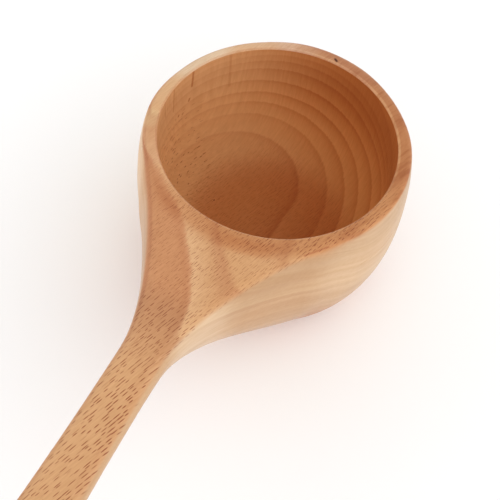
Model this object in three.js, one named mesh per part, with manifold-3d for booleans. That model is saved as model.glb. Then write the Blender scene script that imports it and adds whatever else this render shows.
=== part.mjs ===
// Wooden bath ladle: a deep round cup whose rim runs out flush into a flared neck and a straight grip.
// The blank is three beech boards glued face to face, so each board is a piece of its own:
//   rim_and_handle_board   rim, upper wall, neck and grip
//   wall_board             middle of the wall and of the neck
//   floor_board            floor, lower wall and the flat base
// Millimetres, +Z up. The origin is the centre of the flat base and the grip points along +X.

import * as THREE from 'three';
import { mergeVertices } from 'three/addons/utils/BufferGeometryUtils.js';
import Module from 'manifold-3d';

const wasm = await Module();
wasm.setup();

// Driving dimensions of the cup
const CUP_HEIGHT = 78;
const MOUTH_RADIUS = 53.3;
const RIM_WIDTH = 6;
const BELLY_SWELL = 2.2;          // how far the belly stands out past the rim
const BELLY_HEIGHT = 49;          // height where the lower curve becomes the upright wall
const BASE_RADIUS = 40;           // flat disc that the ladle stands on
const RIM_EDGE_ROUND = 1.8;       // outer edge of the rim, and of the neck where it leaves the rim
const MOUTH_EDGE_ROUND = 0.8;     // inner edge of the rim
const FLOOR_THICKNESS = 10;
const CAVITY_TAPER = 1;           // the wall leans in by this much before the bottom round
const CAVITY_ROUND_WIDTH = 32;    // bottom round of the cavity, across
const CAVITY_ROUND_HEIGHT = 38;   // bottom round of the cavity, up the wall

// Driving dimensions of the neck and grip
const FLARE_ANGLE = 54.8;         // degrees from the grip's axis where the flare leaves the rim
const NECK_LENGTH = 63;           // from the rim's outer edge to the waist
const WAIST_WIDTH = 20;
const GRIP_LENGTH = 102;          // from the waist to the tip
const GRIP_END_WIDTH = 25;
const GRIP_THICKNESS = 12.5;
const GRIP_EDGE_ROUND = 3.4;      // outer edge of the grip
const SWEEP_ROOT_HEIGHT = 10;     // height where the underside of the neck leaves the cup
const SWEEP_OVERRUN = 20;         // the underside is still rising this far past the waist
const SWEEP_POWER = 1.8;
const ROOT_FULLNESS = 6.4;        // section of the underside: 2 is an ellipse, more is squarer
const GRIP_FULLNESS = 2.8;
const FULLNESS_EASE = 0.7;        // power of the change from the root to the grip
const TIP_BLUNTNESS = 0.5;        // power of the underside's rise at the tip: 1 is round, less is blunter
const FLARE_SINK = 0.15;          // the flare starts this far under the cup's skin
const ROOT_FILLET = 12;           // width of the hollow between the cup and the underside of the neck

// Driving dimensions of the blank
const FLOOR_BOARD_THICKNESS = 27;
const WALL_BOARD_THICKNESS = 27;
const BLANK_MARGIN = 5;           // how far a board reaches past the finished outline

// Facets
const CUP_SEGMENTS = 96;
const LOWER_WALL_STEPS = 10;
const UPPER_WALL_STEPS = 5;
const CAVITY_ROUND_STEPS = 12;
const EDGE_STEPS = 3;
const NECK_STATIONS = 22;
const GRIP_STATIONS = 8;
const TIP_STATIONS = 10;
const KEEL_STEPS = 14;
const OUTLINE_HALVINGS = 40;

// Sizes that follow
const RIM_RADIUS = MOUTH_RADIUS + RIM_WIDTH;
const BELLY_RADIUS = RIM_RADIUS + BELLY_SWELL;
const WAIST_X = RIM_RADIUS + NECK_LENGTH;
const TIP_X = WAIST_X + GRIP_LENGTH;
const TIP_ROUND = GRIP_END_WIDTH / 2;
const FLARE_X = RIM_RADIUS * Math.cos(THREE.MathUtils.degToRad(FLARE_ANGLE));
const SWEEP_END_X = WAIST_X + SWEEP_OVERRUN;

const BEECH = { color: 0xd09a68, roughness: 0.62, metalness: 0 };

// A closed three.js geometry as a solid that can be joined and cut.
function solidFrom(geometry) {
  const bare = geometry.clone();
  bare.deleteAttribute('normal');
  bare.deleteAttribute('uv');
  const merged = mergeVertices(bare);
  const corners = merged.index.array;
  const triangles = [];
  for (let i = 0; i < corners.length; i += 3) {
    const [a, b, c] = corners.slice(i, i + 3);
    if (a !== b && b !== c && c !== a) triangles.push(a, b, c);
  }
  const mesh = new wasm.Mesh({
    numProp: 3,
    vertProperties: Float32Array.from(merged.attributes.position.array),
    triVerts: Uint32Array.from(triangles),
  });
  return new wasm.Manifold(mesh);
}

function geometryFrom(solid) {
  const mesh = solid.getMesh();
  const geometry = new THREE.BufferGeometry();
  geometry.setAttribute('position', new THREE.BufferAttribute(Float32Array.from(mesh.vertProperties), 3));
  geometry.setIndex(new THREE.BufferAttribute(Uint32Array.from(mesh.triVerts), 1));
  geometry.computeVertexNormals();
  return geometry;
}

// A profile of (radius, height) points, turned about the vertical axis.
function turned(profile) {
  const geometry = new THREE.LatheGeometry(profile, CUP_SEGMENTS);
  geometry.rotateX(Math.PI / 2);
  return solidFrom(geometry);
}

// Radius of the cup's outside at a height, before its rim edge is rounded.
function cupRadius(height) {
  if (height < BELLY_HEIGHT) {
    const drop = (BELLY_HEIGHT - height) / BELLY_HEIGHT;
    return BASE_RADIUS + (BELLY_RADIUS - BASE_RADIUS) * Math.sqrt(1 - drop * drop);
  }
  const rise = (height - BELLY_HEIGHT) / (CUP_HEIGHT - BELLY_HEIGHT);
  return BELLY_RADIUS - BELLY_SWELL * rise ** 3;
}

// How far a rounded top edge stands back from the wall at a depth under the rim.
function edgeInset(depth, edgeRound) {
  const above = Math.max(0, edgeRound - depth);
  return edgeRound - Math.sqrt(edgeRound ** 2 - above ** 2);
}

// Depths under the rim of the points on a rounded top edge, from the flat top down.
function edgeDepths(edgeRound) {
  const depths = [];
  for (let k = 0; k <= EDGE_STEPS; k += 1) {
    depths.push(edgeRound * (1 - Math.cos((k / EDGE_STEPS) * (Math.PI / 2))));
  }
  return depths;
}

function cupBlank() {
  const profile = [new THREE.Vector2(0, 0)];
  for (let k = 0; k < LOWER_WALL_STEPS; k += 1) {
    const height = BELLY_HEIGHT * (1 - Math.cos((k / LOWER_WALL_STEPS) * (Math.PI / 2)));
    profile.push(new THREE.Vector2(cupRadius(height), height));
  }
  const wallTop = CUP_HEIGHT - RIM_EDGE_ROUND;
  for (let k = 0; k < UPPER_WALL_STEPS; k += 1) {
    const height = BELLY_HEIGHT + (wallTop - BELLY_HEIGHT) * (k / UPPER_WALL_STEPS);
    profile.push(new THREE.Vector2(cupRadius(height), height));
  }
  for (const depth of edgeDepths(RIM_EDGE_ROUND).reverse()) {
    const height = CUP_HEIGHT - depth;
    profile.push(new THREE.Vector2(cupRadius(height) - edgeInset(depth, RIM_EDGE_ROUND), height));
  }
  profile.push(new THREE.Vector2(0, CUP_HEIGHT));
  return turned(profile);
}

function cavity() {
  const roundTop = FLOOR_THICKNESS + CAVITY_ROUND_HEIGHT;
  const wallFoot = MOUTH_RADIUS - CAVITY_TAPER;
  const floorRadius = wallFoot - CAVITY_ROUND_WIDTH;
  const profile = [new THREE.Vector2(0, FLOOR_THICKNESS)];
  for (let k = 0; k <= CAVITY_ROUND_STEPS; k += 1) {
    const turn = (k / CAVITY_ROUND_STEPS) * (Math.PI / 2);
    const radius = floorRadius + CAVITY_ROUND_WIDTH * Math.sin(turn);
    profile.push(new THREE.Vector2(radius, roundTop - CAVITY_ROUND_HEIGHT * Math.cos(turn)));
  }
  const mouthTop = CUP_HEIGHT + MOUTH_EDGE_ROUND;
  for (let k = 0; k <= EDGE_STEPS; k += 1) {
    const turn = (k / EDGE_STEPS) * (Math.PI / 2);
    const radius = MOUTH_RADIUS + MOUTH_EDGE_ROUND * (1 - Math.cos(turn));
    profile.push(new THREE.Vector2(radius, CUP_HEIGHT - MOUTH_EDGE_ROUND * (1 - Math.sin(turn))));
  }
  profile.push(new THREE.Vector2(MOUTH_RADIUS + MOUTH_EDGE_ROUND, mouthTop));
  profile.push(new THREE.Vector2(0, mouthTop));
  return turned(profile);
}

// Half width of the grip beyond the waist, seen from above, without its rounded tip.
function gripHalfWidth(x) {
  const along = Math.max(0, (x - WAIST_X) / GRIP_LENGTH);
  return (WAIST_WIDTH + (GRIP_END_WIDTH - WAIST_WIDTH) * along ** 2) / 2;
}

// Half width of the neck at a depth under the rim: a flare that leaves the cup's wall in its own
// direction at FLARE_X and dies out at the waist.
function neckHalfWidth(x, depth) {
  const radius = cupRadius(Math.max(SWEEP_ROOT_HEIGHT, CUP_HEIGHT - depth));
  const rootHalf = Math.sqrt(radius ** 2 - FLARE_X ** 2);
  const spread = rootHalf - WAIST_WIDTH / 2;
  const power = (FLARE_X / rootHalf) * ((WAIST_X - FLARE_X) / spread);
  const left = Math.max(0, (WAIST_X - x) / (WAIST_X - FLARE_X));
  return gripHalfWidth(x) + spread * left ** power - FLARE_SINK * left;
}

// Depth of the underside below the rim.
function undersideDepth(x) {
  const rootX = cupRadius(SWEEP_ROOT_HEIGHT);
  const rootDepth = CUP_HEIGHT - SWEEP_ROOT_HEIGHT;
  const left = THREE.MathUtils.clamp((SWEEP_END_X - x) / (SWEEP_END_X - rootX), 0, 1);
  return GRIP_THICKNESS + (rootDepth - GRIP_THICKNESS) * left ** SWEEP_POWER;
}

// The larger of two reaches, with the corner between them filled over a width.
function filleted(reachA, reachB, width) {
  const shared = Math.max(0, width - Math.abs(reachA - reachB));
  return Math.max(reachA, reachB) + (width > 0 ? shared ** 2 / (4 * width) : 0);
}

// Distance from a section's centre, at a depth under its top, to its outline in one direction.
function reach(inside, centreDepth, angle) {
  let near = 0;
  let far = CUP_HEIGHT + BELLY_RADIUS;
  for (let k = 0; k < OUTLINE_HALVINGS; k += 1) {
    const middle = (near + far) / 2;
    if (inside(middle * Math.cos(angle), centreDepth + middle * Math.sin(angle))) near = middle;
    else far = middle;
  }
  return near;
}

// One half of a section across the neck or grip: points from the flat top down to the keel.
// Where the section still crosses the cup, a fillet fills the corner between the two.
function halfSection(x) {
  const past = Math.max(0, (x - (TIP_X - TIP_ROUND)) / TIP_ROUND);
  const tipScale = Math.sqrt(Math.max(0, 1 - past ** 2));
  const toWaist = THREE.MathUtils.clamp((x - FLARE_X) / (WAIST_X - FLARE_X), 0, 1);
  const fullness = THREE.MathUtils.lerp(ROOT_FULLNESS, GRIP_FULLNESS, toWaist ** FULLNESS_EASE);
  const edgeRound = THREE.MathUtils.lerp(RIM_EDGE_ROUND, GRIP_EDGE_ROUND, toWaist ** 2);
  const keelHeight = (undersideDepth(x) - edgeRound) * tipScale ** TIP_BLUNTNESS;
  const inNeck = (width, depth) => {
    const down = Math.min(1, (depth - edgeRound) / keelHeight);
    const keel = (1 - down ** fullness) ** (1 / fullness);
    return down < 1 && width <= neckHalfWidth(x, depth) * keel * tipScale;
  };
  const inCup = (width, depth) => (
    depth <= CUP_HEIGHT - FLARE_SINK
    && Math.hypot(x, width) <= cupRadius(CUP_HEIGHT - depth) - FLARE_SINK
  );
  const fillet = ROOT_FILLET * THREE.MathUtils.smoothstep(x, FLARE_X, cupRadius(SWEEP_ROOT_HEIGHT));
  const points = [];
  for (const depth of edgeDepths(edgeRound)) {
    points.push([(neckHalfWidth(x, depth) - edgeInset(depth, edgeRound)) * tipScale, depth]);
  }
  for (let k = 1; k <= KEEL_STEPS; k += 1) {
    const angle = (k / KEEL_STEPS) * (Math.PI / 2);
    const distance = filleted(reach(inNeck, edgeRound, angle), reach(inCup, edgeRound, angle), fillet);
    points.push([distance * Math.cos(angle), edgeRound + distance * Math.sin(angle)]);
  }
  return points;
}

function stations() {
  const list = [];
  for (let k = 0; k < NECK_STATIONS; k += 1) {
    list.push(THREE.MathUtils.lerp(FLARE_X, SWEEP_END_X, k / NECK_STATIONS));
  }
  const tipStart = TIP_X - TIP_ROUND;
  for (let k = 0; k < GRIP_STATIONS; k += 1) {
    list.push(THREE.MathUtils.lerp(SWEEP_END_X, tipStart, k / GRIP_STATIONS));
  }
  for (let k = 0; k < TIP_STATIONS; k += 1) {
    list.push(tipStart + TIP_ROUND * Math.sin((k / TIP_STATIONS) * (Math.PI / 2)));
  }
  return list;
}

// The neck and grip: half sections mirrored into rings, and the rings joined from the cup to the tip.
function neckAndGrip() {
  const positions = [];
  const triangles = [];
  const rings = stations().map((x) => {
    const half = halfSection(x);
    const mirrored = half.slice(0, -1).reverse().map(([width, depth]) => [-width, depth]);
    return [...half, ...mirrored].map(([width, depth]) => [x, width, CUP_HEIGHT - depth]);
  });
  const count = rings[0].length;
  for (const ring of rings) positions.push(...ring.flat());
  for (let r = 0; r + 1 < rings.length; r += 1) {
    for (let i = 0; i < count; i += 1) {
      const a = r * count + i;
      const b = r * count + ((i + 1) % count);
      triangles.push(a, a + count, b, b, a + count, b + count);
    }
  }
  const last = (rings.length - 1) * count;
  for (let i = 1; i + 1 < count; i += 1) {
    triangles.push(0, i, i + 1);
    triangles.push(last, last + i + 1, last + i);
  }
  const geometry = new THREE.BufferGeometry();
  geometry.setAttribute('position', new THREE.Float32BufferAttribute(positions, 3));
  geometry.setIndex(triangles);
  return solidFrom(geometry);
}

// The part of the blank between two heights, larger all round than the finished ladle.
function slab(bottom, top) {
  const reach = BELLY_RADIUS + BLANK_MARGIN;
  const length = reach + TIP_X + BLANK_MARGIN;
  const geometry = new THREE.BoxGeometry(length, 2 * reach, top - bottom);
  geometry.translate(length / 2 - reach, 0, (bottom + top) / 2);
  return solidFrom(geometry);
}

const ladle = cupBlank().add(neckAndGrip()).subtract(cavity());
const wallBoardTop = FLOOR_BOARD_THICKNESS + WALL_BOARD_THICKNESS;
const boards = [
  ['floor_board', -BLANK_MARGIN, FLOOR_BOARD_THICKNESS],
  ['wall_board', FLOOR_BOARD_THICKNESS, wallBoardTop],
  ['rim_and_handle_board', wallBoardTop, CUP_HEIGHT + BLANK_MARGIN],
];

const group = new THREE.Group();
for (const [name, bottom, top] of boards) {
  const piece = ladle.intersect(slab(bottom, top));
  const mesh = new THREE.Mesh(geometryFrom(piece), new THREE.MeshStandardMaterial(BEECH));
  mesh.name = name;
  group.add(mesh);
}

export default group;
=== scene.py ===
"""Looks of the wooden bath ladle: three beech boards glued face to face, carved, sanded and oiled."""
import math

import bmesh
import bpy
from mathutils import Matrix, Vector


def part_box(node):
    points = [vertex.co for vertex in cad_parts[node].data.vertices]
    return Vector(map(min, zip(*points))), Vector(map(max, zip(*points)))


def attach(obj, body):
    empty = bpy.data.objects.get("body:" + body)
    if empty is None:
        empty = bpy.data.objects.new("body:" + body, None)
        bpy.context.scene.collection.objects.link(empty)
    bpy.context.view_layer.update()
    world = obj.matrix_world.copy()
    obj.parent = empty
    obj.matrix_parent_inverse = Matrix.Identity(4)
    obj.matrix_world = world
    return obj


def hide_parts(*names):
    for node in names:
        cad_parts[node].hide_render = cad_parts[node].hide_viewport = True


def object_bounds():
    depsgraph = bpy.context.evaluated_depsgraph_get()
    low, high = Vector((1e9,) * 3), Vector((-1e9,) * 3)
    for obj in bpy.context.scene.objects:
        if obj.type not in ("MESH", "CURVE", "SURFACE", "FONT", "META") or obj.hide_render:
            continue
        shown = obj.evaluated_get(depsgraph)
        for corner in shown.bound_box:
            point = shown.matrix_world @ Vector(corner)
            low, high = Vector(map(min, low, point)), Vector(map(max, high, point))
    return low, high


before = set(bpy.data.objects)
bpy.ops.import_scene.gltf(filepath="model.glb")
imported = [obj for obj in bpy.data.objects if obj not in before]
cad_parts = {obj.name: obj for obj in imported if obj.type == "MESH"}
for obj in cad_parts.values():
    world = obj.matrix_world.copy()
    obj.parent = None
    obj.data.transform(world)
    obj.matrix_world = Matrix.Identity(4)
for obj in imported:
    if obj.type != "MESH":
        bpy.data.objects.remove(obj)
cad_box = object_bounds()

# Left and right are as the camera sees them: +X runs along the grip, and +Y to the right
MM = 0.001
BOARDS = ("floor_board", "wall_board", "rim_and_handle_board")
RIM_HEIGHT = cad_box[1].z
LOWER_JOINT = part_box("floor_board")[1].z
UPPER_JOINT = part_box("wall_board")[1].z

# The hollow of the cup
MOUTH_RADIUS = 53.3 * MM
MOUTH_EDGE_ROUND = 0.8 * MM
FLOOR_THICKNESS = 10 * MM
CAVITY_TAPER = 1 * MM
CAVITY_ROUND_WIDTH = 32 * MM
CAVITY_ROUND_HEIGHT = 38 * MM
CAVITY_SEGMENTS = 192
CAVITY_ROUND_STEPS = 40
MOUTH_EDGE_STEPS = 6
LID_HEIGHT = 1 * MM             # the turned hollow stands this far above the rim

# The carved skin
MERGE_GAP = 0.01 * MM
SAW_TOLERANCE = 0.001 * MM
CARVE_STEP = 0.6 * MM           # size of the cells that the joined boards are carved into
SANDING = 0.5                   # how far one pass takes a point towards its neighbours
SANDING_PASSES = 40             # over the walls and the underside
EDGE_SANDING_PASSES = 6         # over everything, edges too
NECK_SANDING_PASSES = 14        # over each of these lengths of the neck and grip, in millimetres
NECK_SANDING = ((12, 96), (24, 100), (34, 104), (42, 240), (50, 240), (58, 240))
RIM_FLATS = (                   # where the rim is a little flat: direction, reach, depth and spread in millimetres
    (Vector((-0.60, -0.80, 0)), 56.5, 1.2, 26),
    (Vector((-0.78, 0.63, 0)), 60.0, 0.45, 16),
)
EDGE_ZONE = 2.4 * MM            # depth under the rim where only the light sanding reaches
FLAT_TOLERANCE = 0.12 * MM
SHARP_ANGLE = math.radians(40)

# The camera of the photograph
CAMERA_PLACE = Vector((345.0, 116.5, 520.4)) * MM
CAMERA_TARGET = Vector((59.2, 15.3, 78.0)) * MM
CAMERA_ROLL = math.radians(8.17)
CAMERA_LENS = 93.6
SENSOR_WIDTH = 36.0

# Growth rings: how they run through the blank
RING_SPAN = 50 * MM             # unit of the ring shape below
RING_TILT = 0.129
RING_BEND_ALONG = -0.054
RING_TWIST = 0.092
RING_BEND_ACROSS = 0.088
RING_FAN = -0.357
RING_REACH = 1.9                # past this many spans along the grip the rings run level
RING_REACH_EASE = 0.6
RING_LEAN = 7.5 * MM            # the upper rings lean over on the neck
RING_LEAN_MIDDLE = 0.29
RING_LEAN_ENDS = (0.0, 0.4)
RING_LEAN_DEPTHS = (-6 * MM / RING_SPAN, -2.5 * MM / RING_SPAN)
RING_WANDER = 1.8 * MM

# Growth rings: each one's edge, contrast, lift after the edge and dusk before it, the lengths in millimetres
DEEP_RINGS = (
    (-64.2, 0.6, 0.6, 3.2),
    (-53.4, 0.5, 0.5, 3.2),
    (-44.8, 0.7, 0.7, 3.2),
    (-36.6, 0.75, 0.75, 3.2),
    (-27.0, 0.75, 0.75, 3.2),
    (-17.6, 0.6, 0.6, 3.2),
)
NECK_RINGS = ((-7.1, 0.32, 0.95, 1.4), (-1.4, 0.64, -0.25, 2.8), (5.0, 0.5, 0.1, 2.5), (12.0, 0.5, 0.1, 2.5))
MOUTH_RINGS = ((-11.5, 0.5, 0.5, 2.4), (-7.1, 0.3, 0.5, 2.2), (-1.4, 0.4, 0.2, 2.4))
RING_EDGE_WIDTH = 0.7
RING_MARGIN = 9
LEFT_RINGS_FADE = (-45 * MM, 5 * MM)
RIGHT_RINGS_FADE = (0.0, 30 * MM)

# Patterns along the fibres: steps along, across and up, and a shift that keeps each from matching another
FIBRE_ANGLE = math.radians(18)  # the fibres run this far off the grip's line, seen from above
RING_WANDER_GRAIN = (60 * MM, 30 * MM, 30 * MM, 17 * MM)
RING_FEATHER_GRAIN = (10 * MM, 0.8 * MM, 5 * MM, 3 * MM)
SMEAR_GRAIN = (9 * MM, 1.7 * MM, 9 * MM, 11 * MM)
FLECK_PATCH_GRAIN = (40 * MM, 22 * MM, 40 * MM, 5 * MM)

# Colours of the rings, and tints that multiply them
BEECH_PALE = (0.68, 0.40, 0.205, 1)
BEECH_TAN = (0.625, 0.342, 0.16, 1)
BEECH_DEEP = (0.47, 0.19, 0.08, 1)
PLAIN = (1, 1, 1, 1)

# The cup: each zone's pair of limits is where it starts and where it is full, here and below
RIM_BAND = (66 * MM, 59 * MM)
RIGHT_SIDE_BACK = (-44 * MM, -57 * MM)
# Painted shade in the hollow: darker towards its top, darker higher up on its right, and darker on its floor.
HOLLOW_TOP = (42 * MM, 72 * MM)
HOLLOW_RIGHT_SHADE_RISE = (20 * MM, 66 * MM)
HOLLOW_FLOOR = (20 * MM, 10.5 * MM)

# The neck: redder wood under its first ring
NECK_RED_DEPTHS = (-6.9 * MM / RING_SPAN, -7.4 * MM / RING_SPAN)
NECK_RED_START = (5 * MM, 40 * MM)
NECK_RED_END = (135 * MM, 95 * MM)
NECK_RED_ON_RIM = 0.85
NECK_RED_TINT = (0.88, 0.74, 0.70, 1)
# Darker towards the grip: partly the wood's own tone, partly painted shade.
LOW_NECK = (88 * MM, 104 * MM)
LOW_NECK_TONE_AND_SHADE = (0.87, 0.87, 0.88, 1)

# By the mouth
MOUTH_BAND_RADIUS = 60.2 * MM
MOUTH_BAND_WIDTHS = (5.2 * MM, 2.2 * MM)
MOUTH_BAND_START = (30 * MM, 45 * MM)
MOUTH_BAND_LEFT = (-4 * MM, 6 * MM)
MOUTH_BAND_RIGHT = (30 * MM, 20 * MM)
MOUTH_BAND_TINT = (0.94, 0.85, 0.79, 1)
# Painted highlight: a paler, bluer line on the mouth's rounded edge, on the right and most at the back.
MOUTH_EDGE = (54.6 * MM, 53.9 * MM)
MOUTH_EDGE_HIGHLIGHT_BACK = (4 * MM, -22 * MM)
MOUTH_EDGE_HIGHLIGHT_FRONT_SHARE = 0.3
MOUTH_EDGE_HIGHLIGHT_TINT = (1.3, 1.6, 1.9, 1)
# Painted sheen: the back of the rim a little paler and bluer.
RIM_BACK = (-30 * MM, -52 * MM)
RIM_BACK_SHEEN_TINT = (0.98, 1.0, 1.1, 1)
RIM_RIGHT = (12 * MM, -5 * MM)
RIM_RIGHT_TINT = (0.89, 0.81, 0.76, 1)
# Painted sheen: the first three spots are pale, bluer veils on the rim; the last one darkens it.
RIM_SHEEN_AND_DARK_SPOTS = (                   # each with its ends and half its width in millimetres, and its tint
    ((-30.5, -48.8, 78), (-19.7, -54.0, 78), 14, (1.05, 1.23, 1.48, 1)),
    ((-56.2, -12.0, 78), (-54.0, -19.7, 78), 9, (1.06, 1.16, 1.34, 1)),
    ((17.4, -54.8, 78), (18.2, -54.6, 78), 7, (1.07, 1.22, 1.30, 1)),
    ((26.1, -51.2, 78), (36.2, -44.7, 78), 9, (0.93, 0.88, 0.90, 1)),
)
SMEAR_NOISE = (0.5, 0.66)
SMEAR_REACH = (45 * MM, 20 * MM)
SMEAR_TINT = (0.86, 0.76, 0.68, 1)

# The sides: a face turns from flatness 1 when level to 0 when upright
SIDE_TURN = (0.99, 0.5)
SIDE_TURN_SHIFT = 0.38          # the sides start this much lower on the left and round the cup
SHIFTED_LEFT = (5 * MM, -15 * MM)
SHIFTED_CUP = (58 * MM, 40 * MM)
SIDE_INNER_LIMIT = (54.3 * MM, 57 * MM)
# The sides' colours are partly the wood's side grain and partly painted light: the cup's wall paler where it turns
# away to the left and right, and the neck's sides paler.
SIDE_TAN = (0.50, 0.314, 0.174, 1)
SIDE_PALE = (0.615, 0.43, 0.262, 1)
CUP_SIDE = (38 * MM, 52 * MM)
NECK_SIDE_START = (78 * MM, 98 * MM)
NECK_SIDE_END = (125 * MM, 108 * MM)
NECK_SIDE_PALE = (0.64, 0.47, 0.31, 1)
# Painted shade: the wall darker towards its top on the right.
UPPER_SIDE = (58 * MM, 72 * MM)
UPPER_SIDE_RIGHT = (10 * MM, 25 * MM)
UPPER_SIDE_PAINTED_SHADE = (0.91, 0.92, 0.94, 1)
# Painted light: the cup's left side paler.
LEFT_SIDE = (-20 * MM, -45 * MM)
LEFT_SIDE_PAINTED_LIGHT = (1.22, 1.2, 1.13, 1)
# Painted shade: the rounded left edges, where the top turns down to the side, redder and darker.
LEFT_EDGE = (0.0, -12 * MM)
LEFT_EDGE_TURN = (0.98, 0.85)
LEFT_EDGE_FOOT = (0.1, 0.4)
LEFT_EDGE_PAINTED_SHADE = (0.85, 0.75, 0.70, 1)
SIDE_STREAKS = ((80 * MM, 1.4 * MM, 0.8), (140 * MM, 5.0 * MM, 0.7))     # length, thickness and strength
STREAK_NOISE = (0.3, 0.7)
STREAK_ROUGHNESS = 0.6
STREAK_TINTS = ((0.93, 1.05), (0.89, 1.08), (0.85, 1.12))               # least and most red, green and blue

# Fibres
FIBRE_DETAIL = 4.0
FIBRE_ROUGHNESS = 0.65
FIBRE_NOISE = (0.25, 0.75)
FIBRE_TINTS = ((0.90, 1.09), (0.86, 1.12), (0.81, 1.16))
SIDE_FIBRE_SHARE = 0.35

# Dashes of the rays: their pitch, then each kind's scale of the pitch and half its width in pitches
FLECK_PITCH = (3.4 * MM, 1.15 * MM)
NECK_FLECKS = (1.0, 0.115)
FINE_FLECKS = (0.55, 0.115)
# Wider dashes where the neck meets the grip; besides the wood's dashes they add to the painted shade there.
LOW_NECK_FLECKS = (1.05, 0.17)
GRIP_FLECKS = (1.25, 0.14)
FLECK_HALF_LENGTHS = (0.275, 0.6)
FLECK_SCATTER = 0.85
FLECK_EDGE = (1.0, 0.3)
FLECK_DRAW = (0.05, 0.45)       # a dash is missing below the first draw and full above the second
FLECK_TINT = (0.33, 0.05, 0.0, 1)
FLECK_FACES = (0.45, 0.9)       # flatness of the faces that show them
FLECK_PATCHES = (0.32, 0.62, 0.65, 1.0)     # four numbers are two limits, then the strength at each
LOW_NECK_FLECK_ZONE = (86 * MM, 102 * MM)
GRIP_FLECK_ZONE = (114 * MM, 130 * MM)
NECK_FLECK_RISE = (74 * MM, 98 * MM, 0.8, 1.0)
BACK_FLECK_END = (25 * MM, 55 * MM)
UPPER_RED = (98 * MM, 80 * MM)
UPPER_RED_FLECK_SHARE = 0.7
MOUTH_FLECK_RISE = (-20 * MM, 35 * MM, 0.12, 1.0)
MOUTH_FLECK_LEFT = (-45 * MM, -15 * MM, 0.15, 1.0)
WALL_FLECK_PITCH = (3.2 * MM, 1.9 * MM)
WALL_FLECK_HALF_WIDTH = 0.115
WALL_FLECK_TILT = -0.3
WALL_FLECK_PATCHES = (0.48, 0.6)
WALL_FLECK_SIDE = (-28 * MM, -46 * MM)
WALL_FLECK_HEIGHTS = (66 * MM, 46 * MM)
WALL_FLECK_START = (-28 * MM, -14 * MM)

# Marks of this piece of wood: each one's ends and half its width in millimetres, its strength and its tint
KNOT = (0.20, 0.12, 0.08, 1)
SPECK = (0.52, 0.24, 0.11, 1)
RAY = (0.60, 0.36, 0.21, 1)
RED_STREAK = (0.62, 0.32, 0.22, 1)
MARK_CORE = 0.3                 # share of a mark's width that has its full strength
OUTSIDE_MARKS = (
    ((-55.6, 2.7, 78), (-54.9, 3.7, 78), 0.85, 1.0, KNOT),
    ((50.3, 36.3, 77.7), (41.2, 43.2, 77.2), 0.75, 0.6, RED_STREAK),
)
HOLLOW_MARKS = (
    ((-16.6, -50.6, 76.6), (-15.8, -50.6, 67.9), 1.0, 0.7, RAY),
    ((-34.6, -40.5, 76.5), (-34.4, -39.8, 56), 0.9, 0.25, RAY),
    ((-2.9, -53.2, 76.3), (-2.1, -52.7, 62.4), 0.6, 0.5, RAY),
    ((6.1, -53.0, 77), (6.3, -52.6, 67.5), 0.5, 0.5, RAY),
    ((-14.3, -50.8, 60.4), (-13.9, -50.9, 59.4), 0.9, 0.7, SPECK),
    ((-10, -51.6, 54.1), (-9.4, -51.7, 53.6), 0.6, 0.7, SPECK),
    ((-6.7, -52.1, 55.4), (-6.3, -52.1, 55.0), 0.8, 0.75, SPECK),
    ((-3.9, -51.5, 40), (-1.6, -51.6, 38.9), 0.4, 0.7, SPECK),
    ((-1, -52.3, 46.4), (0.8, -52.3, 45.4), 0.4, 0.7, SPECK),
    ((-1.8, -28.3, 11.2), (-1.5, -28.2, 11.2), 0.4, 0.9, KNOT),
)

# The surface
FIBRE_RELIEF = 0.4
FLECK_RELIEF = -1.0
RELIEF_STRENGTH = 0.25
RELIEF_DEPTH = 0.06 * MM
GLOSS_NOISE = (0.2, 0.8)
GLOSS_SWING = 0.05
OIL_IOR = 1.48
SHEEN_ROUGHNESS = 0.3

# The two finishes: the oiled outside, and the hollow that the light hardly reaches; both carry painted light and
# shade in their colours
OUTSIDE = {"side_share": 0.8, "neck_red": 1.0, "mouth_share": 1.0, "back_flecks": 0.1,
           "rings": DEEP_RINGS + NECK_RINGS, "dusk_depth": 0.2,
           "left_contrast": 1.0, "right_contrast": 1.0, "feather": 0.9 * MM,
           # A painted pale sheen on the back of the rim on the left; the rim redder and darker on the right.
           "tint": (1.06, 1.20, 1.40, 1), "painted_light_reach": (30 * MM, -10 * MM), "right_side_tint": (0.82, 0.67, 0.565, 1),
           "right_side_direction": (0.156, 0.988, 0), "right_side_ends": (-40 * MM, -12 * MM), "right_side_at_back": 0.72,
           "upper_painted_shade": PLAIN, "upper_right_painted_shade": PLAIN, "floor_painted_shade": PLAIN,
           "fleck_share": 1.0, "fine_flecks": 0.4, "wall_flecks": 0.0, "marks": OUTSIDE_MARKS,
           "fibre_steps": (10 * MM, 0.55 * MM, 1.2 * MM), "fibre_share": 0.8,
           "roughness": 0.5, "specular": 0.22, "sheen": 0.25}
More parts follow.
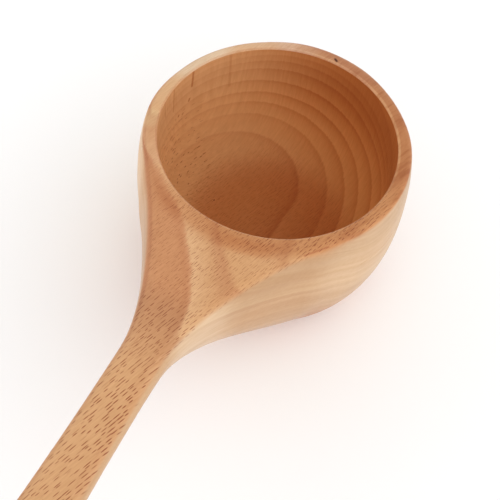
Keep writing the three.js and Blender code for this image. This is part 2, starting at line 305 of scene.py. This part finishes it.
HOLLOW = {"side_share": 0.0, "neck_red": 0.0, "mouth_share": 0.0, "back_flecks": 1.0,
          "rings": DEEP_RINGS + MOUTH_RINGS, "dusk_depth": 0.3,
          "left_contrast": 0.42, "right_contrast": 0.85, "feather": 1.5 * MM,
          # Painted light and shade: the hollow lighter and oranger on its left, redder and darker on its right.
          "tint": (1.14, 1.09, 0.95, 1), "painted_light_reach": (90 * MM, 80 * MM), "right_side_tint": (1.10, 0.87, 0.56, 1),
          "right_side_direction": (-0.6, 0.8, 0), "right_side_ends": (-20 * MM, 50 * MM), "right_side_at_back": 1.0,
          # Painted shade: darker towards the top, darker higher up on the right, and darker and redder on the floor.
          "upper_painted_shade": (0.735, 0.685, 0.69, 1), "upper_right_painted_shade": (0.67, 0.47, 0.35, 1),
          "floor_painted_shade": (0.81, 0.62, 0.485, 1),
          "fleck_share": 0.5, "fine_flecks": 0.5, "wall_flecks": 0.75, "marks": HOLLOW_MARKS,
          "fibre_steps": (5 * MM, 0.7 * MM, 12 * MM), "fibre_share": 0.6,
          "roughness": 0.6, "specular": 0.15, "sheen": 0.0}

# The floor and the light tent
FLOOR_SIZE = 8
FLOOR_COLOUR = (0.85, 0.85, 0.85, 1)
WHITE = (1, 1, 1, 1)
TENT_HEIGHTS = (0.35, 0.85)
TENT_SIDE_LIGHT = 1.7
TENT_TOP_LIGHT = 0.48
KEY_DIRECTION = (0.2, 0.78, 0.59)
KEY_SPREAD = (0.45, 0.95)
KEY_LIGHT = 0.55


def activate(piece):
    bpy.ops.object.select_all(action="DESELECT")
    piece.select_set(True)
    bpy.context.view_layer.objects.active = piece


def edit(piece):
    activate(piece)
    bpy.ops.object.mode_set(mode="EDIT")
    return bmesh.from_edit_mesh(piece.data)


def leave_edit():
    bpy.ops.object.mode_set(mode="OBJECT")


def select_faces(body, wanted):
    bpy.ops.mesh.select_mode(type="FACE")
    bpy.ops.mesh.select_all(action="DESELECT")
    for face in body.faces:
        face.select_set(wanted(face))


def select_points(body, wanted):
    bpy.ops.mesh.select_mode(type="VERT")
    bpy.ops.mesh.select_all(action="DESELECT")
    for point in body.verts:
        point.select_set(wanted(point))
    body.select_flush(True)


def apply_modifier(piece, kind, **settings):
    activate(piece)
    modifier = piece.modifiers.new(kind.lower(), kind)
    for name, value in settings.items():
        setattr(modifier, name, value)
    bpy.ops.object.modifier_apply(modifier=modifier.name)


def turned(name, profile):
    """A closed body turned about the cup's axis from (radius, height) points that start and end on it."""
    bpy.ops.object.select_all(action="DESELECT")
    bpy.ops.mesh.primitive_plane_add(size=MM)
    piece = bpy.context.object
    piece.name = name
    edit(piece)
    bpy.ops.mesh.merge(type="CENTER")
    bpy.ops.transform.translate(value=(profile[0][0], 0, profile[0][1]))
    for (radius, height), (next_radius, next_height) in zip(profile, profile[1:]):
        step = (next_radius - radius, 0, next_height - height)
        bpy.ops.mesh.extrude_region_move(TRANSFORM_OT_translate={"value": step})
    bpy.ops.mesh.select_all(action="SELECT")
    bpy.ops.mesh.spin(steps=CAVITY_SEGMENTS, angle=2 * math.pi, center=(0, 0, 0), axis=(0, 0, 1))
    bpy.ops.mesh.select_all(action="SELECT")
    bpy.ops.mesh.remove_doubles(threshold=MERGE_GAP)
    bpy.ops.mesh.normals_make_consistent(inside=False)
    leave_edit()
    return piece


def hollow():
    """The cup's hollow as a body: a flat floor, a wide round corner, a steep wall and a rounded mouth edge."""
    foot = MOUTH_RADIUS - CAVITY_TAPER
    round_top = FLOOR_THICKNESS + CAVITY_ROUND_HEIGHT
    profile = [(0, FLOOR_THICKNESS)]
    for k in range(CAVITY_ROUND_STEPS + 1):
        turn = k / CAVITY_ROUND_STEPS * math.pi / 2
        radius = foot - CAVITY_ROUND_WIDTH * (1 - math.sin(turn))
        profile.append((radius, round_top - CAVITY_ROUND_HEIGHT * math.cos(turn)))
    for k in range(MOUTH_EDGE_STEPS):
        turn = k / MOUTH_EDGE_STEPS * math.pi / 2
        radius = MOUTH_RADIUS + MOUTH_EDGE_ROUND * (1 - math.cos(turn))
        profile.append((radius, RIM_HEIGHT - MOUTH_EDGE_ROUND * (1 - math.sin(turn))))
    lid = RIM_HEIGHT + LID_HEIGHT
    return turned("hollow", profile + [(MOUTH_RADIUS + MOUTH_EDGE_ROUND, lid), (0, lid)])


def joined_boards():
    """The three boards as one solid body, without the glued joints and without the hollow."""
    copies = []
    for name in BOARDS:
        copy = bpy.data.objects.new("blank_" + name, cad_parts[name].data.copy())
        bpy.context.scene.collection.objects.link(copy)
        copies.append(copy)
    activate(copies[0])
    for copy in copies:
        copy.select_set(True)
    bpy.ops.object.join()
    blank = bpy.context.object
    body = edit(blank)
    bpy.ops.mesh.select_all(action="SELECT")
    bpy.ops.mesh.remove_doubles(threshold=MERGE_GAP)
    joints = (LOWER_JOINT, UPPER_JOINT)

    def is_joint(face):
        return any(all(abs(point.co.z - joint) < MERGE_GAP for point in face.verts) for joint in joints)

    def is_hollow(face):
        middle = face.calc_center_median()
        outward = face.normal.x * middle.x + face.normal.y * middle.y
        within = middle.xy.length < MOUTH_RADIUS + 2 * MOUTH_EDGE_ROUND
        return within and outward < SAW_TOLERANCE and FLOOR_THICKNESS / 2 < middle.z < RIM_HEIGHT - MERGE_GAP

    select_faces(body, lambda face: is_joint(face) or is_hollow(face))
    bpy.ops.mesh.delete(type="FACE")
    bpy.ops.mesh.select_mode(type="EDGE")
    bpy.ops.mesh.select_non_manifold()
    bpy.ops.mesh.edge_face_add()
    leave_edit()
    return blank


def carved_blank():
    """The ladle's outside as one smooth skin, with the cup still solid."""
    blank = joined_boards()
    activate(blank)
    blank.data.remesh_voxel_size = CARVE_STEP
    blank.data.use_remesh_preserve_volume = True
    bpy.ops.object.voxel_remesh()
    body = edit(blank)
    select_points(body, lambda point: FLAT_TOLERANCE < point.co.z < RIM_HEIGHT - EDGE_ZONE)
    bpy.ops.mesh.vertices_smooth(factor=SANDING, repeat=SANDING_PASSES)
    select_points(body, lambda point: point.co.z > FLAT_TOLERANCE)
    bpy.ops.mesh.vertices_smooth(factor=SANDING, repeat=EDGE_SANDING_PASSES)
    for start, end in NECK_SANDING:
        select_points(body, lambda point: start * MM < point.co.x < end * MM and point.co.z > FLAT_TOLERANCE)
        bpy.ops.mesh.vertices_smooth(factor=SANDING, repeat=NECK_SANDING_PASSES)
    for direction, reach, depth, spread in RIM_FLATS:
        select_points(body, lambda point: point.co.dot(direction) > reach * MM)
        bpy.ops.transform.translate(value=direction * -depth * MM, use_proportional_edit=True,
                                    proportional_edit_falloff="SMOOTH", proportional_size=spread * MM)
    for level in (0, RIM_HEIGHT):
        select_points(body, lambda point: abs(point.co.z - level) <= FLAT_TOLERANCE)
        bpy.ops.transform.resize(value=(1, 1, 0), center_override=(0, 0, level))
    leave_edit()
    return blank


def boards(outside, inside):
    """The hollowed ladle, sawn at the glued joints into the three boards."""
    ladle = carved_blank()
    tool = hollow()
    ladle.data.materials.clear()
    ladle.data.materials.append(outside)
    tool.data.materials.append(inside)
    tool.data.materials.append(outside)
    for face in tool.data.polygons:
        face.material_index = int(face.center.z > RIM_HEIGHT - MOUTH_EDGE_ROUND)
    apply_modifier(ladle, "BOOLEAN", operation="DIFFERENCE", object=tool, solver="MANIFOLD",
                   material_mode="TRANSFER")
    bpy.data.objects.remove(tool)
    levels = (None, LOWER_JOINT, UPPER_JOINT, None)
    pieces = []
    for index, name in enumerate(BOARDS):
        piece = bpy.data.objects.new(name + "_beech", ladle.data.copy())
        bpy.context.scene.collection.objects.link(piece)
        edit(piece)
        for level, upward in ((levels[index], True), (levels[index + 1], False)):
            if level is None:
                continue
            bpy.ops.mesh.select_all(action="SELECT")
            bpy.ops.mesh.bisect(plane_co=(0, 0, level), plane_no=(0, 0, 1), use_fill=True,
                                clear_inner=upward, clear_outer=not upward, threshold=SAW_TOLERANCE)
        leave_edit()
        activate(piece)
        bpy.ops.object.shade_smooth_by_angle(angle=SHARP_ANGLE)
        pieces.append(piece)
    bpy.data.objects.remove(ladle)
    return pieces


class Graph:
    """Adds nodes to a material or a world and joins their sockets."""

    def __init__(self, tree):
        self.tree = tree
        tree.nodes.clear()

    def feed(self, socket, value):
        if isinstance(value, bpy.types.NodeSocket):
            self.tree.links.new(value, socket)
        else:
            socket.default_value = value

    def node(self, kind, inputs=None, **settings):
        made = self.tree.nodes.new(kind)
        for name, value in settings.items():
            setattr(made, name, value)
        for name, value in (inputs or {}).items():
            self.feed(made.inputs[name], value)
        return made

    def math(self, operation, *values, clamp=False):
        inputs = dict(enumerate(values))
        return self.node("ShaderNodeMath", inputs, operation=operation, use_clamp=clamp).outputs[0]

    def vector(self, operation, first, second):
        return self.node("ShaderNodeVectorMath", {0: first, 1: second}, operation=operation).outputs

    def split(self, vector):
        return tuple(self.node("ShaderNodeSeparateXYZ", {"Vector": vector}).outputs)

    def total(self, *values):
        result = values[0]
        for value in values[1:]:
            result = self.math("ADD", result, value)
        return result

    def times(self, *values):
        result = values[0]
        for value in values[1:]:
            result = self.math("MULTIPLY", result, value)
        return result

    def ramp(self, value, low, high, to_low=0.0, to_high=1.0):
        """A smooth step of a value between two limits."""
        made = self.node("ShaderNodeMapRange", interpolation_type="SMOOTHSTEP")
        for index, number in enumerate((value, low, high, to_low, to_high)):
            self.feed(made.inputs[index], number)
        return made.outputs[0]

    def mix(self, share, first, second, blend="MIX"):
        made = self.node("ShaderNodeMix", data_type="RGBA", blend_type=blend)
        for socket, value in ((0, share), (6, first), (7, second)):
            self.feed(made.inputs[socket], value)
        return made.outputs[2]

    def tint(self, colour, share, tint):
        return self.mix(share, colour, tint, "MULTIPLY")

    def swinging_tint(self, value, limits, channels):
        """A tint whose red, green and blue each follow a value between two limits."""
        ramps = {index: self.ramp(value, *limits, *ends) for index, ends in enumerate(channels)}
        return self.node("ShaderNodeCombineColor", ramps).outputs[0]

    def grain_place(self, place, along, across, up, shift=0.0):
        """Coordinates that follow the fibres, in steps of the given lengths."""
        made = self.node("ShaderNodeMapping", vector_type="TEXTURE")
        self.feed(made.inputs["Vector"], place)
        made.inputs["Location"].default_value = (shift, shift, shift)
        made.inputs["Rotation"].default_value = (0, 0, -FIBRE_ANGLE)
        made.inputs["Scale"].default_value = (along, across, up)
        return made.outputs[0]

    def noise(self, place, detail=2.0, roughness=0.5):
        made = self.node("ShaderNodeTexNoise", {"Vector": place, "Scale": 1.0, "Detail": detail,
                                                "Roughness": roughness})
        return made.outputs["Fac"]


class Surface:
    """What a finish knows about a point: its place, how level its face is, its depth in the tree and its zones."""

    def __init__(self, graph, look):
        coordinates = graph.node("ShaderNodeTexCoord").outputs
        self.place = coordinates["Object"]
        self.x, self.y, self.z = graph.split(self.place)
        self.flatness = graph.math("ABSOLUTE", graph.split(coordinates["Normal"])[2])
        self.radius = graph.math("SQRT", graph.total(graph.times(self.x, self.x), graph.times(self.y, self.y)))
        self.even_depth, self.depth = ring_depth(graph, self, look["feather"])
        self.rim = graph.ramp(self.radius, *RIM_BAND)
        # Towards the right: the outside's rim is redder there, and the hollow gets painted shade there.
        towards_stain = graph.vector("DOT_PRODUCT", self.place, look["right_side_direction"])["Value"]
        self.right_side = graph.times(graph.ramp(towards_stain, *look["right_side_ends"]),
                                   graph.ramp(self.x, *RIGHT_SIDE_BACK, 1.0, look["right_side_at_back"]))
        self.red = graph.times(graph.ramp(self.depth, *NECK_RED_DEPTHS), graph.ramp(self.x, *NECK_RED_START),
                               graph.ramp(self.x, *NECK_RED_END),
                               graph.ramp(self.rim, 0.0, 1.0, 1.0, NECK_RED_ON_RIM), look["neck_red"])
        shift = graph.math("MAXIMUM", graph.ramp(self.y, *SHIFTED_LEFT, 0.0, SIDE_TURN_SHIFT),
                           graph.ramp(self.x, *SHIFTED_CUP, 0.0, SIDE_TURN_SHIFT))
        self.sideways = graph.times(graph.ramp(graph.total(self.flatness, shift), *SIDE_TURN),
                                    graph.ramp(self.radius, *SIDE_INNER_LIMIT))


def ring_depth(graph, at, feathering):
    """Depth of a point in the tree, in ring spans: the even layers, and the rings as they grew."""
    along = graph.math("DIVIDE", at.x, RING_SPAN)
    along = graph.math("SMOOTH_MIN", along, RING_REACH, RING_REACH_EASE)
    across = graph.math("DIVIDE", at.y, RING_SPAN)
    up = graph.math("DIVIDE", graph.math("SUBTRACT", at.z, RIM_HEIGHT), RING_SPAN)
    depth = graph.total(
        up,
        graph.times(across, RING_TILT),
        graph.times(along, along, RING_BEND_ALONG),
        graph.times(along, across, RING_TWIST),
        graph.times(across, across, RING_BEND_ACROSS),
        graph.times(across, up, RING_FAN),
    )
    lean = graph.math("MINIMUM", graph.math("MAXIMUM", across, RING_LEAN_ENDS[0]), RING_LEAN_ENDS[1])
    lean = graph.times(graph.math("SUBTRACT", RING_LEAN_MIDDLE, lean), RING_LEAN / RING_SPAN)
    grown = [depth, graph.times(lean, graph.ramp(depth, *RING_LEAN_DEPTHS))]
    for grain, size in ((RING_WANDER_GRAIN, RING_WANDER), (RING_FEATHER_GRAIN, feathering)):
        noise = graph.noise(graph.grain_place(at.place, *grain))
        grown.append(graph.times(graph.math("SUBTRACT", noise, 0.5), size / RING_SPAN))
    return depth, graph.total(*grown)


def blend(first, second, share):
    return tuple(a + (b - a) * share for a, b in zip(first, second))


def ring_colour(graph, at, look):
    """Colour through the growth rings: pale after each ring's edge, then redder up to the next one."""
    lowest, highest = look["rings"][0][0] - RING_MARGIN, look["rings"][-1][0] + RING_MARGIN
    unit = MM / RING_SPAN
    share = graph.node("ShaderNodeMapRange", {0: at.depth, 1: lowest * unit, 2: highest * unit})
    made = graph.node("ShaderNodeValToRGB", {"Fac": share.outputs[0]})
    stops = made.color_ramp.elements
    stops.remove(stops[1])
    stops[0].position = 0
    stops[0].color = BEECH_TAN
    for edge, contrast, lift, dusk in look["rings"]:
        for height, colour in ((edge - dusk, blend(BEECH_TAN, BEECH_DEEP, look["dusk_depth"] * contrast)),
                               (edge - RING_EDGE_WIDTH, blend(BEECH_TAN, BEECH_DEEP, contrast)),
                               (edge, blend(BEECH_TAN, BEECH_PALE, lift))):
            stops.new((height - lowest) / (highest - lowest)).color = colour
    stops.new(1.0).color = BEECH_TAN
    contrast = graph.times(graph.ramp(at.y, *LEFT_RINGS_FADE, look["left_contrast"], 1.0),
                           graph.ramp(at.y, *RIGHT_RINGS_FADE, 1.0, look["right_contrast"]))
    return graph.mix(contrast, BEECH_TAN, made.outputs["Color"])


def cup_tone_and_painted_light(graph, at, look, colour):
    """One side of the cup is redder. A pale sheen is painted on the back of the rim on the left; the hollow is
    painted lighter on its left, and darker in painted shade on its right, at its top and on its floor.
    """
    # Painted light: a pale, bluer sheen on the back of the rim on the left outside, and the hollow lighter towards
    # its left.
    painted_light_tint = graph.mix(graph.ramp(at.x, *look["painted_light_reach"]), PLAIN, look["tint"])
    # Towards the right the outside's rim is redder and darker, and the hollow redder and darker in painted shade.
    colour = graph.tint(colour, at.rim, graph.mix(at.right_side, painted_light_tint, look["right_side_tint"]))
    # Painted shade: the hollow darker towards its top.
    colour = graph.tint(colour, graph.ramp(at.z, *HOLLOW_TOP), look["upper_painted_shade"])
    # Painted shade: the hollow's right wall darker higher up.
    upper_right_shade = graph.times(at.right_side, graph.ramp(at.z, *HOLLOW_RIGHT_SHADE_RISE))
    colour = graph.tint(colour, upper_right_shade, look["upper_right_painted_shade"])
    # Painted shade: the hollow's floor darker and redder.
    return graph.tint(colour, graph.ramp(at.z, *HOLLOW_FLOOR), look["floor_painted_shade"])


def red_neck(graph, at, colour):
    """The wood under the neck's first ring is redder, and darker towards the grip: partly the wood's own tone,
    partly painted shade.
    """
    colour = graph.tint(colour, at.red, NECK_RED_TINT)
    return graph.tint(colour, graph.times(at.red, graph.ramp(at.x, *LOW_NECK)), LOW_NECK_TONE_AND_SHADE)


def mouth_and_rim(graph, at, look, colour):
    """A brown band on the neck's side of the mouth, a rim of uneven colour with painted sheen on its back and in
    pale spots, a painted highlight along the mouth's edge, and brown smears.
    """
    band_off = graph.math("ABSOLUTE", graph.math("SUBTRACT", at.radius, MOUTH_BAND_RADIUS))
    band = graph.times(graph.ramp(band_off, *MOUTH_BAND_WIDTHS), graph.ramp(at.x, *MOUTH_BAND_START),
                       graph.ramp(at.y, *MOUTH_BAND_LEFT), graph.ramp(at.y, *MOUTH_BAND_RIGHT))
    # Painted sheen: the back of the rim a little paler and bluer.
    back = graph.times(at.rim, graph.ramp(at.x, *RIM_BACK))
    zones = [(band, MOUTH_BAND_TINT), (back, RIM_BACK_SHEEN_TINT)]
    # Painted sheen in three pale spots, and one darker spot.
    for start, end, half_width, tint in RIM_SHEEN_AND_DARK_SPOTS:
        zones.append((graph.times(mark(graph, at, start, end, half_width), at.rim), tint))
    right = graph.times(at.rim, at.right_side, graph.ramp(at.x, *RIM_RIGHT))
    # Painted highlight: a paler, bluer line along the mouth's edge, on the right and most at the back.
    edge = graph.times(graph.ramp(at.radius, *MOUTH_EDGE), at.right_side,
                       graph.ramp(at.x, *MOUTH_EDGE_HIGHLIGHT_BACK, MOUTH_EDGE_HIGHLIGHT_FRONT_SHARE, 1.0))
    smears = graph.noise(graph.grain_place(at.place, *SMEAR_GRAIN))
    smears = graph.times(graph.ramp(smears, *SMEAR_NOISE), at.rim, at.right_side, graph.ramp(at.x, *SMEAR_REACH))
    zones += [(right, RIM_RIGHT_TINT), (edge, MOUTH_EDGE_HIGHLIGHT_TINT), (smears, SMEAR_TINT)]
    for share, tint in zones:
        colour = graph.tint(colour, graph.times(share, look["mouth_share"]), tint)
    return colour


def pale_sides(graph, at, look, colour):
    """The sides are pale, partly in the wood's side grain and partly painted light, with long faint streaks, and the
    neck's left edge is redder and darker in painted shade.
    """
    # Painted shade on the left edges.
    left_edge_shade = graph.times(graph.ramp(at.y, *LEFT_EDGE), graph.ramp(at.flatness, *LEFT_EDGE_TURN),
                            graph.ramp(at.flatness, *LEFT_EDGE_FOOT), look["side_share"])
    colour = graph.tint(colour, left_edge_shade, LEFT_EDGE_PAINTED_SHADE)
    # Partly the wood's side grain, partly painted light: paler on the cup's left and right and on the neck's sides.
    cup_side = graph.ramp(graph.math("ABSOLUTE", at.y), *CUP_SIDE)
    neck_side = graph.times(graph.ramp(at.x, *NECK_SIDE_START), graph.ramp(at.x, *NECK_SIDE_END))
    side = graph.mix(neck_side, graph.mix(cup_side, SIDE_TAN, SIDE_PALE), NECK_SIDE_PALE)
    # Painted shade: darker towards the top on the right.
    upper_side = graph.times(graph.ramp(at.z, *UPPER_SIDE), graph.ramp(at.y, *UPPER_SIDE_RIGHT))
    side = graph.tint(side, upper_side, UPPER_SIDE_PAINTED_SHADE)
    # Painted light: paler on the left.
    side = graph.tint(side, graph.ramp(at.y, *LEFT_SIDE), LEFT_SIDE_PAINTED_LIGHT)
    share = graph.times(at.sideways, look["side_share"])
    colour = graph.mix(share, colour, side)
    for length, thickness, strength in SIDE_STREAKS:
        layers = graph.node("ShaderNodeCombineXYZ", {
            0: graph.math("DIVIDE", at.x, length),
            1: graph.math("DIVIDE", at.y, length),
            2: graph.math("DIVIDE", at.even_depth, thickness / RING_SPAN)})
        streaks = graph.noise(layers.outputs[0], roughness=STREAK_ROUGHNESS)
        streaks = graph.swinging_tint(streaks, STREAK_NOISE, STREAK_TINTS)
        colour = graph.tint(colour, graph.times(share, strength), streaks)
    return colour


def dashes(graph, cells, half_width):
    """Short dashes, about one in each cell of a plane, that run along the cells' first direction."""
    made = graph.node("ShaderNodeTexVoronoi", {"Vector": cells, "Scale": 1.0, "Randomness": FLECK_SCATTER},
                      voronoi_dimensions="2D")
    off = graph.split(graph.vector("SUBTRACT", cells, made.outputs["Position"])["Vector"])
    draw = graph.node("ShaderNodeSeparateColor", {"Color": made.outputs["Color"]}).outputs
    along = graph.math("DIVIDE", off[0], graph.ramp(draw[1], 0.0, 1.0, *FLECK_HALF_LENGTHS))
    across = graph.math("DIVIDE", off[1], half_width)
    dash = graph.ramp(graph.total(graph.times(along, along), graph.times(across, across)), *FLECK_EDGE)
    return graph.times(dash, graph.ramp(draw[0], *FLECK_DRAW))


def ray_flecks(graph, at, pitch_scale, half_width):
    """Dashes of the wood's rays on faces that look up or down, in rows along the fibres."""
    along, across = FLECK_PITCH
    cells = graph.grain_place(at.place, along * pitch_scale, across * pitch_scale, 1)
    return dashes(graph, cells, half_width)


def wall_flecks(graph, at):
    """Dashes of the wood's rays on the hollow's left wall, a little tilted."""
    along = graph.total(at.x, graph.times(at.z, WALL_FLECK_TILT))
    cells = graph.node("ShaderNodeCombineXYZ", {0: graph.math("DIVIDE", along, WALL_FLECK_PITCH[0]),
                                                1: graph.math("DIVIDE", at.z, WALL_FLECK_PITCH[1])}).outputs[0]
    patch = graph.noise(cells, detail=1.0)
    return graph.times(dashes(graph, cells, WALL_FLECK_HALF_WIDTH), graph.ramp(patch, *WALL_FLECK_PATCHES),
                       graph.ramp(at.y, *WALL_FLECK_SIDE), graph.ramp(at.z, *WALL_FLECK_HEIGHTS),
                       graph.ramp(at.x, *WALL_FLECK_START))


def flecks(graph, at, look):
    """All dashes: they show most by the mouth, where the neck meets the grip, and on the grip."""
    patch = graph.ramp(graph.noise(graph.grain_place(at.place, *FLECK_PATCH_GRAIN)), *FLECK_PATCHES)
    upper_red = graph.times(at.red, graph.ramp(at.x, *UPPER_RED))
    along_neck = graph.times(graph.ramp(at.x, *NECK_FLECK_RISE),
                             graph.ramp(at.x, *BACK_FLECK_END, look["back_flecks"], 1.0),
                             graph.ramp(upper_red, 0.0, 1.0, 1.0, UPPER_RED_FLECK_SHARE))
    by_mouth = graph.times(at.rim, graph.ramp(at.x, *MOUTH_FLECK_RISE), graph.ramp(at.y, *MOUTH_FLECK_LEFT))
    strength = graph.times(graph.math("MAXIMUM", along_neck, by_mouth), patch, graph.ramp(at.flatness, *FLECK_FACES))
    fine = graph.times(ray_flecks(graph, at, *FINE_FLECKS), look["fine_flecks"])
    level = graph.math("MAXIMUM", ray_flecks(graph, at, *NECK_FLECKS), fine)
    for zone, kind in ((LOW_NECK_FLECK_ZONE, LOW_NECK_FLECKS), (GRIP_FLECK_ZONE, GRIP_FLECKS)):
        level = graph.mix(graph.ramp(at.x, *zone), level, ray_flecks(graph, at, *kind))
    level = graph.times(level, strength, look["fleck_share"])
    return graph.math("MAXIMUM", level, graph.times(wall_flecks(graph, at), look["wall_flecks"]))


def mark(graph, at, start, end, half_width):
    """A soft spot or line between two places of the ladle, given in millimetres."""
    start, end = Vector(start) * MM, Vector(end) * MM
    run = end - start
    off = graph.vector("SUBTRACT", at.place, start)[0]
    share = graph.vector("DOT_PRODUCT", off, run / run.length_squared)["Value"]
    share = graph.math("ADD", share, 0.0, clamp=True)
    nearest = graph.node("ShaderNodeVectorMath", {0: run, "Scale": share}, operation="SCALE").outputs[0]
    gap = graph.vector("DISTANCE", off, nearest)["Value"]
    return graph.ramp(gap, half_width * MM, MARK_CORE * half_width * MM)


def beech(name, look):
    """Beech in one of the two finishes, with its rings, zones, fibres, dashes and marks."""
    material = bpy.data.materials.new(name)
    material.use_nodes = True
    graph = Graph(material.node_tree)
    at = Surface(graph, look)
    colour = ring_colour(graph, at, look)
    colour = cup_tone_and_painted_light(graph, at, look, colour)
    colour = red_neck(graph, at, colour)
    colour = mouth_and_rim(graph, at, look, colour)
    colour = pale_sides(graph, at, look, colour)

    fibres = graph.noise(graph.grain_place(at.place, *look["fibre_steps"]), FIBRE_DETAIL, FIBRE_ROUGHNESS)
    fibre_share = graph.times(graph.ramp(at.sideways, 0.0, 1.0, 1.0, SIDE_FIBRE_SHARE), look["fibre_share"])
    colour = graph.tint(colour, fibre_share, graph.swinging_tint(fibres, FIBRE_NOISE, FIBRE_TINTS))
    fleck = flecks(graph, at, look)
    colour = graph.tint(colour, fleck, FLECK_TINT)
    for start, end, half_width, strength, tint in look["marks"]:
        colour = graph.tint(colour, graph.times(mark(graph, at, start, end, half_width), strength), tint)

    height = graph.total(graph.times(fibres, FIBRE_RELIEF), graph.times(fleck, FLECK_RELIEF))
    bump = graph.node("ShaderNodeBump", {"Height": height, "Strength": RELIEF_STRENGTH, "Distance": RELIEF_DEPTH})
    gloss = graph.ramp(fibres, *GLOSS_NOISE, look["roughness"] + GLOSS_SWING, look["roughness"] - GLOSS_SWING)
    shader = graph.node("ShaderNodeBsdfPrincipled", {
        "Base Color": colour,
        "Roughness": gloss,
        "Normal": bump.outputs[0],
        "IOR": OIL_IOR,
        "Specular IOR Level": look["specular"],
        "Sheen Weight": look["sheen"],
        "Sheen Roughness": SHEEN_ROUGHNESS,
    })
    output = graph.node("ShaderNodeOutputMaterial", {"Surface": shader.outputs[0]})
    output.is_active_output = True
    return material


def floor():
    bpy.ops.object.select_all(action="DESELECT")
    bpy.ops.mesh.primitive_plane_add(size=FLOOR_SIZE)
    ground = bpy.context.object
    ground.name = "floor"
    material = bpy.data.materials.new("pale_floor")
    material.use_nodes = True
    graph = Graph(material.node_tree)
    seen = graph.node("ShaderNodeLightPath").outputs["Is Camera Ray"]
    colour = graph.mix(seen, FLOOR_COLOUR, WHITE)
    surface = graph.node("ShaderNodeBsdfDiffuse", {"Color": colour})
    graph.node("ShaderNodeOutputMaterial", {"Surface": surface.outputs[0]})
    ground.data.materials.append(material)


def camera():
    data = bpy.data.cameras.new("camera")
    data.lens = CAMERA_LENS
    data.sensor_width = SENSOR_WIDTH
    taker = bpy.data.objects.new("camera", data)
    bpy.context.scene.collection.objects.link(taker)
    forward = (CAMERA_TARGET - CAMERA_PLACE).normalized()
    right = forward.cross(Vector((0, 0, 1))).normalized()
    up = right.cross(forward)
    facing = Matrix((right, up, -forward)).transposed()
    facing = facing @ Matrix.Rotation(CAMERA_ROLL, 3, "Z")
    taker.matrix_world = Matrix.Translation(CAMERA_PLACE) @ facing.to_4x4()
    bpy.context.scene.camera = taker


def light():
    """A white tent round the ladle: brighter from the sides than from above, and white to the camera."""
    world = bpy.data.worlds.new("studio")
    bpy.context.scene.world = world
    world.use_nodes = True
    graph = Graph(world.node_tree)
    direction = graph.node("ShaderNodeTexCoord").outputs["Generated"]
    tent = graph.ramp(graph.split(direction)[2], *TENT_HEIGHTS, TENT_SIDE_LIGHT, TENT_TOP_LIGHT)
    towards_key = graph.vector("DOT_PRODUCT", direction, KEY_DIRECTION)["Value"]
    lit = graph.total(tent, graph.ramp(towards_key, *KEY_SPREAD, 0.0, KEY_LIGHT))
    path = graph.node("ShaderNodeLightPath").outputs
    plain_white = graph.math("MAXIMUM", path["Is Camera Ray"], path["Is Glossy Ray"])
    plain_white = graph.math("MAXIMUM", plain_white, path["Is Transmission Ray"])
    difference = graph.times(plain_white, graph.math("SUBTRACT", 1.0, lit))
    surface = graph.node("ShaderNodeBackground", {"Color": WHITE, "Strength": graph.total(lit, difference)})
    graph.node("ShaderNodeOutputWorld", {"Surface": surface.outputs[0]})


oiled_beech = beech("oiled_beech", OUTSIDE)
hollow_beech_with_painted_shade = beech("hollow_beech_with_painted_shade", HOLLOW)
for node, piece in zip(BOARDS, boards(oiled_beech, hollow_beech_with_painted_shade)):
    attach(piece, "root")
    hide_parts(node)
floor()
camera()
light()
bpy.context.scene.view_settings.view_transform = "Standard"
